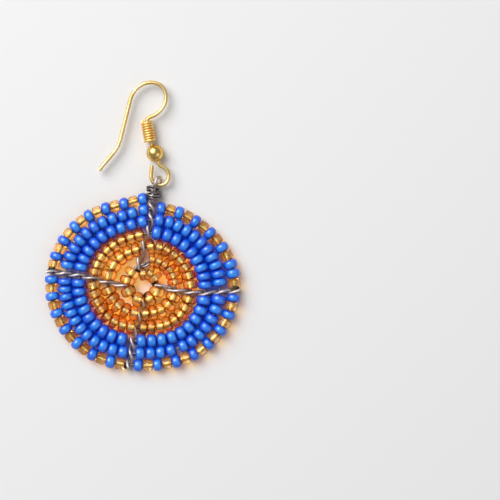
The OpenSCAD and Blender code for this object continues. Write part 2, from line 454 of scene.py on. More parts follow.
class Finishes:
    """All the finishes, built once."""

    def __init__(self) -> None:
        """Builds each finish."""
        # Clear amber glass: bright gold middles, brown where the eye looks through more, and
        # painted shade at the cut ends and beside the blue beads
        self.amber = BeadGlass(
            "amber_clear_glass",
            pale="#fff2b0",
            middle="#ffb450",
            deep="#6a1e04",
            stops=(0.04, 0.26, 0.62),
            passing="#ffc044",
            rim="#7a2404",
            gather=2.3,
            clear=0.93,
            roughness=0.1,
        ).build()
        # Opaque blue glass: one strong blue with a soft spark on every bead, and painted shade
        # at its rims and cut ends
        blue = BeadGlass(
            "blue_opaque_glass",
            pale="#2a8cf8",
            middle="#0c60ec",
            deep="#0042d4",
            stops=(0.05, 0.3, 0.68),
            passing="#002cc0",
            rim="#002cc0",
            gather=1.0,
            clear=0.0,
            roughness=0.4,
        )
        self.blue = blue.build()
        # The same glass, in shadows that the gold beads beside it fill with warm light
        self.edge_blue = replace(
            blue, name="blue_edge_glass", passing="#d8a088", rim="#a88070"
        ).build()
        # Clear pale gold glass: the floor shines through, the rims are honey brown, and painted
        # shade lies at the cut ends and on the side beside the blue beads
        self.gold = BeadGlass(
            "gold_clear_glass",
            pale="#fff6d0",
            middle="#ffdc94",
            deep="#bc6c14",
            stops=(0.04, 0.3, 0.84),
            passing="#ffd480",
            rim="#d89440",
            gather=2.0,
            clear=0.97,
            roughness=0.08,
        ).build()
        # Gold paint drawn into the drilled hole: a yellow glow inside the clear beads
        self.hole_wall = BrightMetal(
            "gold_lined_hole",
            dark="#bc8430",
            bright="#f4d68c",
            edge="#ffffff",
            stain_mm=0.5,
            roughness=(0.45, 0.6),
            scratch_mm=0.15,
            scratch=0.5,
        ).build()
        # Bare steel wire, drawn: grey strands with a soft sheen
        self.steel = BrightMetal(
            "drawn_steel_wire",
            dark="#bcb0aa",
            bright="#e8deda",
            edge="#665c58",
            stain_mm=0.7,
            roughness=(0.48, 0.62),
            scratch_mm=0.12,
            scratch=0.3,
        ).build()
        # The same, darker all over as painted shade for the wire between beads and in the knot:
        # dark with bright spots
        self.dark_steel = BrightMetal(
            "darkened_steel_wire",
            dark="#443e3c",
            bright="#aea6a2",
            edge="#3c3634",
            stain_mm=0.6,
            roughness=(0.35, 0.5),
            scratch_mm=0.12,
            scratch=0.4,
        ).build()
        # The same, near black at the hard bends as painted shadow: dark dots at the spokes'
        # ends
        self.bend_shadow_steel = BrightMetal(
            "blackened_wire_bend",
            dark="#161414",
            bright="#5e5856",
            edge="#262220",
            stain_mm=0.5,
            roughness=(0.35, 0.5),
            scratch_mm=0.12,
            scratch=0.4,
        ).build()
        # Gold plating over drawn brass wire: a pale line of light along the hook
        self.pale_plating = BrightMetal(
            "pale_gold_plated_wire",
            dark="#e8bc68",
            bright="#fce0a0",
            edge="#b08038",
            stain_mm=2.5,
            roughness=(0.36, 0.5),
            scratch_mm=0.25,
            scratch=0.1,
        ).build()
        # The same on thin wire wound tight: warm light that goes from turn to turn
        self.coil_plating = BrightMetal(
            "gold_plated_coil_wire",
            dark="#ffc058",
            bright="#ffe8a0",
            edge="#ffc860",
            stain_mm=1.2,
            roughness=(0.46, 0.58),
            scratch_mm=0.2,
            scratch=0.15,
        ).build()
        # The same on a pressed and polished ball: a small spark and a deep gold rim
        self.ball_plating = BrightMetal(
            "gold_plated_polished_ball",
            dark="#ffc450",
            bright="#ffe290",
            edge="#b87018",
            stain_mm=1.5,
            roughness=(0.2, 0.32),
            scratch_mm=0.3,
            scratch=0.08,
        ).build()
        # Painted board: a pale floor without a shine
        self.board = MattBoard("matt_white_board", colour="#ebebec", roughness=0.9).build()


def polyline(runs: list[Route], bends: list[Route]) -> bpy.types.Object:
    """Makes a guide of joined points for a Geometry Nodes tree to follow.

    Args:
        runs: The routes of plain wire, in millimetres.
        bends: The routes of hard bends.

    Returns:
        The guide object, whose points carry the attribute bend.
    """
    points: Route = []
    edges: list[tuple[int, int]] = []
    is_bend: list[bool] = []
    for k, run in enumerate([*runs, *bends]):
        first = len(points)
        points += [p * MM for p in run]
        edges += [(i, i + 1) for i in range(first, len(points) - 1)]
        is_bend += [k >= len(runs)] * len(run)
    mesh = bpy.data.meshes.new("wire_guide")
    mesh.from_pydata(points, edges, [])
    mesh.attributes.new("bend", "BOOLEAN", "POINT").data.foreach_set("value", is_bend)
    return add_object("wire_guide", mesh)


def lathe(name: str, profile: Profile, sides: int) -> bpy.types.Mesh:
    """Turns a closed profile round the X axis.

    Args:
        name: The mesh's name.
        profile: Places along the axis and radii, going round the section.
        sides: Number of sides of the turned shape.

    Returns:
        The mesh, with faces that point outwards.
    """
    count = len(profile)
    points = []
    for k in range(sides):
        a = 2 * math.pi * k / sides
        points += [(x, r * math.cos(a), r * math.sin(a)) for x, r in profile]
    faces = []
    for k in range(sides):
        near, far = k * count, (k + 1) % sides * count
        for i in range(count):
            j = (i + 1) % count
            faces.append((near + i, far + i, far + j, near + j))
    mesh = bpy.data.meshes.new(name)
    mesh.from_pydata(points, [], faces)
    mesh.polygons.foreach_set("use_smooth", [True] * len(faces))
    return mesh


class Pattern:
    """A Geometry Nodes tree with named inputs that turns a guide into a plain mesh."""

    def __init__(self, name: str, inputs: dict[str, str]) -> None:
        """Starts the tree.

        Args:
            name: The tree's name.
            inputs: Name and socket type of each input after the geometry.
        """
        self.tree = bpy.data.node_groups.new(name, "GeometryNodeTree")
        face = self.tree.interface
        face.new_socket("Geometry", in_out="INPUT", socket_type="NodeSocketGeometry")
        for socket, kind in inputs.items():
            face.new_socket(socket, in_out="INPUT", socket_type=kind)
        face.new_socket("Geometry", in_out="OUTPUT", socket_type="NodeSocketGeometry")
        self.given = add_node(self.tree, "NodeGroupInput").outputs

    def close(self, shape: Node) -> None:
        """Joins the finished shape to the tree's output."""
        add_node(self.tree, "NodeGroupOutput", {"Geometry": shape})

    def grow(
        self, guide: bpy.types.Object, values: dict[str, object], sharp: float
    ) -> bpy.types.Mesh:
        """Runs the tree on a guide and keeps the result as a mesh.

        Args:
            guide: The object that the tree starts from, which is removed afterwards.
            values: Value of each named input.
            sharp: Angle in degrees above which an edge stays sharp.

        Returns:
            The mesh.
        """
        mod = guide.modifiers.new(self.tree.name, "NODES")
        mod.node_group = self.tree
        for item in self.tree.interface.items_tree:
            if item.in_out == "INPUT" and item.name in values:
                mod[item.identifier] = values[item.name]
        graph = bpy.context.evaluated_depsgraph_get()
        mesh = bpy.data.meshes.new_from_object(guide.evaluated_get(graph), depsgraph=graph)
        guide.modifiers.remove(mod)
        bpy.data.objects.remove(guide)
        mesh.set_sharp_from_angle(angle=math.radians(sharp))
        return mesh


class WirePattern(Pattern):
    """Draws round wire along a guide, and gives hard bends a metal of their own, dark as
    painted shadow.
    """

    def __init__(self) -> None:
        """Builds the tree."""
        super().__init__(
            "round_wire",
            {
                "Diameter": "NodeSocketFloat",
                "Sides": "NodeSocketInt",
                "Metal": "NodeSocketMaterial",
                "Bend metal": "NodeSocketMaterial",
            },
        )
        tree, given = self.tree, self.given
        path = add_node(tree, "GeometryNodeMeshToCurve", {"Mesh": given["Geometry"]})
        inputs = {0: given["Diameter"], 1: 0.5}
        radius = add_node(tree, "ShaderNodeMath", inputs, operation="MULTIPLY")
        inputs = {"Resolution": given["Sides"], "Radius": radius}
        section = add_node(tree, "GeometryNodeCurvePrimitiveCircle", inputs)
        inputs = {"Curve": path, "Profile Curve": section, "Fill Caps": True}
        drawn = add_node(tree, "GeometryNodeCurveToMesh", inputs)
        smooth = add_node(tree, "GeometryNodeSetShadeSmooth", {"Geometry": drawn})
        real = add_node(tree, "GeometryNodeRealizeInstances", {"Geometry": smooth})
        inputs = {"Geometry": real, "Material": given["Metal"]}
        plain = add_node(tree, "GeometryNodeSetMaterial", inputs)
        inputs = {"Name": "bend"}
        bend = add_node(tree, "GeometryNodeInputNamedAttribute", inputs, data_type="BOOLEAN")
        inputs = {"Geometry": plain, "Selection": bend, "Material": given["Bend metal"]}
        self.close(add_node(tree, "GeometryNodeSetMaterial", inputs))


def draw_wire(
    runs: list[Route],
    diameter: float,
    sides: int,
    metal: Material,
    bends: list[Route] | None = None,
    bend_metal: Material | None = None,
    sharp: float = 35.0,
) -> bpy.types.Mesh:
    """Draws round wire along some routes.

    Args:
        runs: The routes of plain wire, in millimetres.
        diameter: The wire's diameter.
        sides: Number of sides of its round section.
        metal: Its finish.
        bends: The routes of hard bends.
        bend_metal: The finish of those.
        sharp: Angle in degrees above which an edge stays sharp.

    Returns:
        The wire's mesh.
    """
    values = {
        "Diameter": diameter * MM,
        "Sides": sides,
        "Metal": metal,
        "Bend metal": bend_metal or metal,
    }
    return WirePattern().grow(polyline(runs, bends or []), values, sharp)


class BeadPattern(Pattern):
    """Strings beads on the points of a guide.

    A guide point carries the way the wire runs, the room for its bead along and across the
    wire, the kind of bead, and the side on which blue beads show through it, where painted
    shade darkens it.
    """

    # Where the painted shade of its blue neighbours starts in a clear bead and where it is
    # full, from 0 in the bead's middle to 1 at its skin
    blue_shade_band: tuple[float, float] = (0.3, 0.75)

    def __init__(self) -> None:
        """Builds the tree."""
        super().__init__(
            "beads_on_wire",
            {
                "Wire": "NodeSocketObject",
                "Bead": "NodeSocketObject",
                "Gold bead": "NodeSocketObject",
                "Tilt": "NodeSocketFloat",
                "Size spread": "NodeSocketFloat",
                "Seed": "NodeSocketInt",
                "Glass": "NodeSocketMaterial",
                "Gold glass": "NodeSocketMaterial",
                "Hole wall": "NodeSocketMaterial",
            },
        )
        tree, reader = self.tree, "GeometryNodeInputNamedAttribute"
        self.named: dict[str, Node] = {
            name: add_node(tree, reader, {"Name": name}, data_type=kind)
            for name, kind in {
                "along": "FLOAT_VECTOR",
                "room": "FLOAT_VECTOR",
                "centre": "FLOAT_VECTOR",
                "to_blue": "FLOAT_VECTOR",
                "kind": "INT",
                "hole": "BOOLEAN",
                "bead": "BOOLEAN",
                "bead_end": "FLOAT",
            }.items()
        }
        self.is_gold = add_node(
            tree,
            "FunctionNodeCompare",
            {"A": self.named["kind"], "B": BeadKind.GOLD.value},
            data_type="INT",
            operation="EQUAL",
        )
        wire = add_node(tree, "GeometryNodeObjectInfo", {"Object": self.given["Wire"]})
        inputs = {"Geometry": [self.darkened(self.strung()), wire.outputs["Geometry"]]}
        joined = add_node(tree, "GeometryNodeJoinGeometry", inputs)
        shape = add_node(tree, "GeometryNodeRealizeInstances", {"Geometry": joined})
        for chosen, glass in (
            (self.named["bead"], "Glass"),
            (self.is_gold, "Gold glass"),
            (self.named["hole"], "Hole wall"),
        ):
            inputs = {"Geometry": shape, "Selection": chosen, "Material": self.given[glass]}
            shape = add_node(tree, "GeometryNodeSetMaterial", inputs)
        self.close(shape)

    def turned(self) -> Node:
        """Turns each bead to its wire.

        It leans a little, because the wire is loose in it, and lies any way round the wire.

        Returns:
            The node that carries the rotation of each bead.
        """
        tree, tilt = self.tree, self.given["Tilt"]
        inputs = {"Vector": self.named["along"]}
        on_wire = add_node(tree, "FunctionNodeAlignRotationToVector", inputs, axis="X")
        back = add_node(tree, "ShaderNodeMath", {0: tilt, 1: -1.0}, operation="MULTIPLY")
        inputs = {"X": -math.pi, "Y": back, "Z": back}
        lowest = add_node(tree, "ShaderNodeCombineXYZ", inputs)
        highest = add_node(tree, "ShaderNodeCombineXYZ", {"X": math.pi, "Y": tilt, "Z": tilt})
        inputs = {"Min": lowest, "Max": highest, "Seed": self.given["Seed"]}
        lean = add_node(tree, "FunctionNodeRandomValue", inputs, data_type="FLOAT_VECTOR")
        leaned = add_node(tree, "FunctionNodeEulerToRotation", {"Euler": lean})
        inputs = {"Rotation": on_wire, "Rotate By": leaned}
        return add_node(tree, "FunctionNodeRotateRotation", inputs, rotation_space="LOCAL")

    def sized(self) -> Node:
        """Gives each bead its size, because no two are cut quite alike.

        Returns:
            The node that carries the size of each bead.
        """
        inputs = {0: 1.0, 1: self.given["Size spread"]}
        smallest = add_node(self.tree, "ShaderNodeMath", inputs, operation="SUBTRACT")
        inputs = {"Min": smallest, "Max": 1.0, "Seed": self.given["Seed"]}
        spread = add_node(self.tree, "FunctionNodeRandomValue", inputs, data_type="FLOAT")
        inputs = {0: self.named["room"], "Scale": spread}
        return add_node(self.tree, "ShaderNodeVectorMath", inputs, operation="SCALE")

    def strung(self) -> Node:
        """Strings the beads, each with a shade of its own.

        Returns:
            The node that carries the beads.
        """
        tree, turned, size = self.tree, self.turned(), self.sized()
        is_plain = add_node(tree, "FunctionNodeBooleanMath", {0: self.is_gold}, operation="NOT")
        kinds = []
        for shape, chosen in (("Gold bead", self.is_gold), ("Bead", is_plain)):
            bead = add_node(tree, "GeometryNodeObjectInfo", {"Object": self.given[shape]})
            inputs = {
                "Points": self.given["Geometry"],
                "Selection": chosen,
                "Instance": bead.outputs["Geometry"],
                "Rotation": turned,
                "Scale": size,
            }
            kinds.append(add_node(tree, "GeometryNodeInstanceOnPoints", inputs))
        beads = add_node(tree, "GeometryNodeJoinGeometry", {"Geometry": kinds})
        inputs = {"Min": 0.0, "Max": 1.0, "Seed": self.given["Seed"]}
        shade = add_node(tree, "FunctionNodeRandomValue", inputs, data_type="FLOAT")
        shaded = add_node(
            tree,
            "GeometryNodeStoreNamedAttribute",
            {"Geometry": beads, "Name": "bead_shade", "Value": shade},
            data_type="FLOAT",
            domain="INSTANCE",
        )
        return add_node(tree, "GeometryNodeRealizeInstances", {"Geometry": shaded})

    def darkened(self, beads: Node) -> Node:
        """Darkens clear beads with painted shade on the side where blue beads show through
        them.

        Args:
            beads: The node that carries the beads.

        Returns:
            The node that carries them with the painted shade of that side marked.
        """
        tree, (start, full) = self.tree, self.blue_shade_band
        inputs = {0: add_node(tree, "GeometryNodeInputPosition"), 1: self.named["centre"]}
        from_centre = add_node(tree, "ShaderNodeVectorMath", inputs, operation="SUBTRACT")
        inputs = {0: from_centre, 1: self.named["to_blue"]}
        towards = add_node(tree, "ShaderNodeVectorMath", inputs, operation="DOT_PRODUCT")
        inputs = {"Value": towards, "From Min": start, "From Max": full}
        blue_side_shade = add_node(tree, "ShaderNodeMapRange", inputs)
        # The painted shade of the side joins the painted shade of the cut ends
        inputs = {0: self.named["bead_end"], 1: blue_side_shade}
        end_and_side_shade = add_node(tree, "ShaderNodeMath", inputs, operation="MAXIMUM")
        return add_node(
            tree,
            "GeometryNodeStoreNamedAttribute",
            {"Geometry": beads, "Name": "bead_end", "Value": end_and_side_shade},
            data_type="FLOAT",
            domain="POINT",
        )


def place(name: str, mesh: bpy.types.Mesh, node: str) -> None:
    """Puts a finished mesh in the scene as a piece that stands for a solid.

    Args:
        name: The piece's name.
        mesh: Its mesh, with its place in its points.
        node: The solid that it stands for.
    """
    mesh.name = name
    piece = add_object(name, mesh)
    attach(piece, BODY)
    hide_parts(node)
    log.info("%s: %d faces", name, len(mesh.polygons))


def between(a: Vector, b: Vector, c: Vector, d: Vector, s: float) -> Vector:
    """A point on a smooth curve through four points, between the inner two.

    Args:
        a: The first point.
        b: The second point, where the stretch starts.
        c: The third point, where it ends.
        d: The last point.
        s: Share of the stretch.

    Returns:
        The point.
    """
    return 0.5 * (
        2 * b
        + (c - a) * s
        + (2 * a - 5 * b + 4 * c - d) * s * s
        + (3 * b - 3 * c + d - a) * s * s * s
    )


def smooth_through(points: Route, steps: int) -> Route:
    """Points of a smooth curve through given ones.

    Args:
        points: The points to pass.
        steps: Number of steps between two of them.

    Returns:
        The finer list.
    """
    last = len(points) - 1
    fine = []
    for i in range(last):
        a, d = points[max(i - 1, 0)], points[min(i + 2, last)]
        fine += [between(a, points[i], points[i + 1], d, j / steps) for j in range(steps)]
    return [*fine, points[last]]


@dataclass(frozen=True)
class SpiralWire:
    """The steel wire that winds clockwise from the middle and carries every bead.

    A bearing is counted in degrees clockwise from the top, on and on through the turns.

    Args:
        bearings: Bearing of each station of a turn.
        reaches: A row for each turn, with the wire's distance from the disc's middle.
        end_reach: The distance at the first station after the last turn.
        crossings: A row for each turn, with the bearing at which each spoke crosses it.
        start: Bearing at which the wire starts.
        height: Height of the wire's middle.
        nearby: Distance to either side, in degrees, from which its direction is measured.
    """

    bearings: tuple[float, ...] = (5, 15, 45, 90, 135, 180, 225, 270, 315, 345)
    reaches: tuple[tuple[float, ...], ...] = (
        (2.0, 2.1, 2.2, 2.5, 2.8, 2.9, 3.0, 3.0, 2.9, 3.3),
        (3.6, 4.3, 5.0, 5.6, 5.7, 5.3, 5.9, 6.4, 6.2, 6.2),
        (6.5, 6.9, 7.5, 8.3, 8.5, 7.8, 8.6, 9.0, 8.8, 8.6),
        (9.0, 9.4, 9.9, 10.9, 11.2, 10.2, 11.3, 11.6, 11.2, 10.7),
        (11.3, 11.7, 12.2, 13.5, 13.3, 12.4, 13.5, 14.0, 13.4, 12.6),
        (13.4, 13.8, 14.6, 16.2, 15.7, 14.5, 15.8, 16.5, 15.7, 14.6),
    )
    end_reach: float = 15.2
    crossings: tuple[tuple[float, ...], ...] = (
        (94, 179, 263, 340),
        (101.5, 187, 272, 358),
        (100, 190, 276, 364),
        (99, 191, 277.5, 366.5),
        (96, 190, 277.5, 366),
        (94.5, 190.5, 277.5, 365),
    )
    start: float = -12
    height: float = BEAD_DIAMETER / 2
    nearby: float = 0.5

    @property
    def turns(self) -> int:
        """Number of turns of the spiral."""
        return len(self.reaches)

    @property
    def end(self) -> float:
        """Bearing at which the last string ends."""
        return self.crossing(self.turns - 1, Spoke.TOP)

    def crossing(self, turn: int, spoke: Spoke) -> float:
        """Bearing at which a spoke crosses a turn."""
        return 360 * turn + self.crossings[turn][spoke.value]

    def stations(self) -> list[tuple[float, float]]:
        """Bearing and reach of every station."""
        rows = [
            (360 * turn + bearing, self.reaches[turn][i])
            for turn in range(self.turns)
            for i, bearing in enumerate(self.bearings)
        ]
        return [*rows, (360 * self.turns + self.bearings[0], self.end_reach)]

    def reach(self, bearing: float) -> float:
        """Distance of the wire from the disc's middle.

        Args:
            bearing: The bearing in degrees.

        Returns:
            The distance in millimetres, smooth through the stations.
        """
        rows = self.stations()
        last = len(rows) - 1
        i = max([k for k in range(last) if rows[k][0] <= bearing] or [0])

        def slope(k: int) -> float:
            """Change of reach for each degree at a station."""
            a, b = rows[max(k - 1, 0)], rows[min(k + 1, last)]
            return (b[1] - a[1]) / (b[0] - a[0])

        width = rows[i + 1][0] - rows[i][0]
        rise = rows[i + 1][1] - rows[i][1]
        s = max(0.0, (bearing - rows[i][0]) / width)
        from_a = slope(i) * width - rise
        from_b = rise - slope(i + 1) * width
        return rows[i][1] + s * rise + s * (1 - s) * ((1 - s) * from_a + s * from_b)

    def point(self, bearing: float) -> Vector:
        """The wire's middle at a bearing, in the frame of the model."""
        a, r = math.radians(bearing), self.reach(bearing)
        return Vector((r * math.sin(a), r * math.cos(a), self.height)) + DISC_MIDDLE

    def outwards(self, bearing: float) -> Vector:
        """The flat direction square to the wire and away from the disc's middle."""
        step = self.point(bearing + self.nearby) - self.point(bearing - self.nearby)
        return Vector((-step.y, step.x, 0)).normalized()


@dataclass(frozen=True)
class BeadRun:
    """Beads side by side on one stretch of the wire.

    Args:
        count: Number of beads.
        first: Bearing of the first bead's middle.
        last: Bearing of the last bead's middle.
        crowd: How far the middle of the run is pushed along the wire, in millimetres.
        golds: One letter for each bead where some are gold: g for gold, b for blue.
        push: How far each end bead is pushed outwards along the wire, in millimetres.
        steps: Number of short steps in which the run is measured.
    """

    count: int
    first: float
    last: float
    crowd: float = 0.0
    golds: str = ""
    push: float = 0.12
    steps: int = 120

    def beads(self, wire: SpiralWire, turn: int) -> list[tuple[float, float, BeadKind]]:
        """Spreads the beads over the run.

        Args:
            wire: The spiral wire.
            turn: The turn that the run is on.

        Returns:
            Bearing of each bead's middle, the room along the wire that it has, and its kind.
        """
        # The end beads are pushed up to the spokes
        first, last = 360 * turn + self.first, 360 * turn + self.last
        first -= math.degrees(self.push / wire.reach(first))
        last += math.degrees(self.push / wire.reach(last))
        samples = [first + (last - first) * i / self.steps for i in range(self.steps + 1)]
        lengths = [0.0]
        for a, b in zip(samples, samples[1:]):
            lengths.append(lengths[-1] + (wire.point(b) - wire.point(a)).length)
        total = lengths[-1]

        def at(distance: float) -> float:
            """Bearing at a distance along the run."""
            i = max(k for k in range(self.steps) if k == 0 or lengths[k] <= distance)
            share = (distance - lengths[i]) / (lengths[i + 1] - lengths[i])
            return samples[i] + share * (samples[i + 1] - samples[i])

        places = []
        for i in range(self.count):
            s = i / (self.count - 1)
            places.append(s * total + 4 * s * (1 - s) * self.crowd)
        gaps = [b - a for a, b in zip(places, places[1:])]
        rooms = [gaps[0], *[(a + b) / 2 for a, b in zip(gaps, gaps[1:])], gaps[-1]]
        letters = self.golds or "b" * self.count
        kinds = [BeadKind.GOLD if letter == "g" else BeadKind.PLAIN for letter in letters]
        return [(at(p), room, kind) for p, room, kind in zip(places, rooms, kinds)]


# Runs of beads of every turn, from the top clockwise
RUNS: tuple[tuple[BeadRun, ...], ...] = (
    (BeadRun(3, -3, 58), BeadRun(2, 124, 155), BeadRun(2, 203, 242), BeadRun(2, 285, 311)),
    (
        BeadRun(6, 21, 85),
        BeadRun(5, 116, 175, 0.15),
        BeadRun(5, 200, 258),
        BeadRun(5, 286, 346, 0.25),
    ),
    (
        BeadRun(8, 12, 90, -0.2),
        BeadRun(8, 110, 180),
        BeadRun(8, 198, 268),
        BeadRun(8, 285, 354, -0.23),
    ),
    (
        BeadRun(9, 15.4, 90.5, 0.39),
        BeadRun(9, 106.25, 181.5),
        BeadRun(9, 202, 270.0, 0.3),
        BeadRun(9, 285.5, 358.2, -0.5),
    ),
    (
        BeadRun(11, 14.5, 88.5, 0.35),
        BeadRun(7, 102.5, 146.9, 0.08),
        BeadRun(4, 158.2, 182.5),
        BeadRun(12, 197.5, 271.2, 0.7),
        BeadRun(9, 284.5, 342.0, -0.28),
        BeadRun(2, 351.4, 359.4),
    ),
    (
        BeadRun(13, 13.75, 89, -0.14, "bgbgbgbgbgbbg"),
        BeadRun(15, 99.5, 183.3, -0.34, "bgbgbgbgbgbgbgb"),
        BeadRun(14, 197, 272.3, 0.41, "gbgbgbgbgbgbgb"),
        BeadRun(14, 282.7, 358.9, -0.36, "gbgbgbgbgbgbgb"),
    ),
)


def both_ends(half: Profile) -> Profile:
    """A bead's whole profile, from the half up to its widest place."""
    return [*half, *((-x, r) for x, r in half[-2::-1])]


# Unit beads: places along the wire and radii, from the drilled hole over the outside.
# The round one was tumbled long, the cut one only a little.
ROUND_BEAD = both_ends([(-0.45, 0.30), (-0.50, 0.50), (-0.44, 0.78), (-0.26, 0.95), (0.0, 1.0)])
CUT_BEAD = both_ends([(-0.46, 0.27), (-0.50, 0.64), (-0.42, 0.93), (0.0, 1.0)])


@dataclass
class BeadStrings:
    """The three strings of seed beads on the spiral wire.

    Args:
        wire: The spiral wire.
        finishes: The finishes.
        bead_sides: Number of sides of a bead.
        bead_gap: Gap between two beads on the wire.
        widest: Diameter of the widest beads.
        rim_half: Half the width of a bead on the disc's free side.
        nesting: How far the beads of a row nest between those of the next.
        gold_share: Width of a gold bead, as a share of a blue one's.
        tilt: How many degrees a bead leans at most.
        size_spread: How much smaller the smallest bead is, as a share.
        bead_sharp: Angle in degrees above which a bead's edge stays sharp.
        end_shade_band: Where the painted shade of a bead's cut end starts and is full, along
            the unit bead.
        seed: Number from which the random draws start.
        wire_step: Length in degrees of one straight step of the drawn wire.
        wire_sides: Number of sides of the drawn wire.
        seam: Gap between two strings' wires on either side.
        longest: Greatest length of a bead along the wire.
        last_amber_turn: The amber turn that has blue beads outside it.
        tail_span: First and last bearing of the wire's folded start.
        tail_step: Its step in degrees.
        tail_aside: How far it lies inside the wire.
    """

    wire: SpiralWire
    finishes: Finishes
    bead_sides: int = 12
    bead_gap: float = 0.02
    widest: float = 2.95
    rim_half: float = 1.2
    nesting: float = 0.38
    gold_share: float = 0.88
    tilt: float = 5.0
    size_spread: float = 0.05
    bead_sharp: float = 60.0
    end_shade_band: tuple[float, float] = (0.3, 0.5)
    seed: int = 7
    wire_step: float = 2.5
    wire_sides: int = 8
    seam: float = 0.02
    longest: float = 1.85
    last_amber_turn: int = 2
    tail_span: tuple[int, int] = (338, 375)
    tail_step: int = 4
    tail_aside: float = 0.42

    def half_width(self, bearing: float, to_row: float) -> float:
        """Half the width that a bead may have on one side.

        Args:
            bearing: Where the bead is.
            to_row: 360 towards the next row, -360 towards the one inside.

        Returns:
            The half width in millimetres.
        """
        beside = bearing + to_row
        if beside > self.wire.end:
            return self.rim_half
        if beside < self.wire.start:
            return self.widest / 2
        away = abs(self.wire.reach(beside) - self.wire.reach(bearing))
        return min(self.widest / 2, (away + self.nesting) / 2)

    def start_tail(self) -> Route:
        """The spiral wire's folded start, which lies beside the bare stretch of turn two."""
        return [
            self.wire.point(bearing) - self.tail_aside * self.wire.outwards(bearing)
            for bearing in range(*self.tail_span, self.tail_step)
        ]

    def wire_piece(self, turns: range) -> bpy.types.Object:
        """Draws the stretch of the spiral wire that a string needs.

        Args:
            turns: The turns of the string.

        Returns:
            An object with the wire's mesh.
        """
        is_first = turns[0] == 0
        start = self.wire.start if is_first else self.wire.crossing(turns[0] - 1, Spoke.TOP)
        length = self.wire.crossing(turns[-1], Spoke.TOP) - start
        count = round(length / self.wire_step)
        route = [self.wire.point(start + length * i / count) for i in range(count + 1)]
        # The neighbouring strings' wires stop short of each other
        route[0] = route[0] + self.seam * (route[1] - route[0]).normalized()
        route[-1] = route[-1] + self.seam * (route[-2] - route[-1]).normalized()
        # The wire takes the darker steel: painted shade where it runs between the beads
        mesh = draw_wire(
            [route, self.start_tail()] if is_first else [route],
            SPIRAL_WIRE_DIAMETER,
            self.wire_sides,
            self.finishes.dark_steel,
        )
        return add_object("string_wire", mesh)

    def guide(self, turns: range) -> bpy.types.Object:
        """Makes the points that carry the beads of a string.

        Args:
            turns: The turns of the string.

        Returns:
            The guide, with its attributes.
        """
        vectors: dict[str, Route] = {"along": [], "room": [], "centre": [], "to_blue": []}
        kinds: list[int] = []
        beads = [
            (turn, *bead)
            for turn in turns
            for run in RUNS[turn]
            for bead in run.beads(self.wire, turn)
        ]
        for turn, bearing, length, kind in beads:
            is_gold = kind is BeadKind.GOLD
            outer, inner = (self.half_width(bearing, way) for way in (360, -360))
            out = self.wire.outwards(bearing)
            across = (outer + inner) / 2 * (self.gold_share if is_gold else 1.0)
            # A bead that is wider than the wire is high lies on the floor
            lift = max(0.0, across - self.wire.height)
            middle = self.wire.point(bearing) + (outer - inner) / 2 * out + lift * UP
            length = min(length, self.longest) - self.bead_gap
            # The last amber row has blue beads outside it, a gold bead inside it; that side
            # gets painted shade
            side = -1.0 if is_gold else float(turn == self.last_amber_turn)
            vectors["along"].append(Vector((out.y, -out.x, 0)))
            vectors["room"].append(Vector((length, across, across)) * MM)
            vectors["centre"].append(middle * MM)
            vectors["to_blue"].append(side / (across * MM) * out)
            kinds.append(kind.value)
        mesh = bpy.data.meshes.new("bead_guide")
        mesh.from_pydata(vectors["centre"], [], [])
        for name, values in vectors.items():
            data = mesh.attributes.new(name, "FLOAT_VECTOR", "POINT").data
            data.foreach_set("vector", [x for v in values for x in v])
        mesh.attributes.new("kind", "INT", "POINT").data.foreach_set("value", kinds)
        return add_object("bead_guide", mesh)

    def bead(self, name: str, profile: Profile) -> bpy.types.Object:
        """Makes one unit bead for the tree to string.

        Args:
            name: The bead's name.
            profile: Its profile.

        Returns:
            The bead, with its hole, and its ends marked for painted shade.
        """
        shape = lathe(name, profile, self.bead_sides)
        hole = shape.attributes.new("hole", "BOOLEAN", "FACE").data
        for i, item in enumerate(hole):
            item.value = i % len(profile) == len(profile) - 1
        is_bead = shape.attributes.new("bead", "BOOLEAN", "FACE").data
        is_bead.foreach_set("value", [True] * len(is_bead))
        start, full = self.end_shade_band
        # The cut ends carry painted shade, the dark lines between beads
        end = shape.attributes.new("bead_end", "FLOAT", "POINT").data
        for vertex, item in zip(shape.vertices, end):
            item.value = min(1.0, max(0.0, (abs(vertex.co.x) - start) / (full - start)))
        return add_object(name, shape)

    def string(self, name: str, node: str, turns: range, glass: Material) -> None:
        """Makes one string: the wire, and its beads.

        Args:
            name: The piece's name.
            node: The solid that it stands for.
            turns: The turns of the spiral that it covers.
            glass: The beads' glass.
        """
        parts = {
            "Wire": self.wire_piece(turns),
            "Bead": self.bead("round_bead", ROUND_BEAD),
            "Gold bead": self.bead("cut_bead", CUT_BEAD),
        }
        values = {
            **parts,
            "Tilt": math.radians(self.tilt),
            "Size spread": self.size_spread,
            "Seed": self.seed + turns[0],
            "Glass": glass,
            "Gold glass": self.finishes.gold,
            "Hole wall": self.finishes.hole_wall,
        }
        mesh = BeadPattern().grow(self.guide(turns), values, self.bead_sharp)
        for part in parts.values():
            bpy.data.objects.remove(part)
        place(name, mesh, node)

    def build(self) -> None:
        """Builds the three strings."""
        amber, blue, edge = self.finishes.amber, self.finishes.blue, self.finishes.edge_blue
        self.string("amber_bead_string", "amber_rows", range(0, 3), amber)
        self.string("blue_bead_string", "blue_rows", range(3, 5), blue)
        self.string("edge_bead_string", "edge_row", range(5, 6), edge)


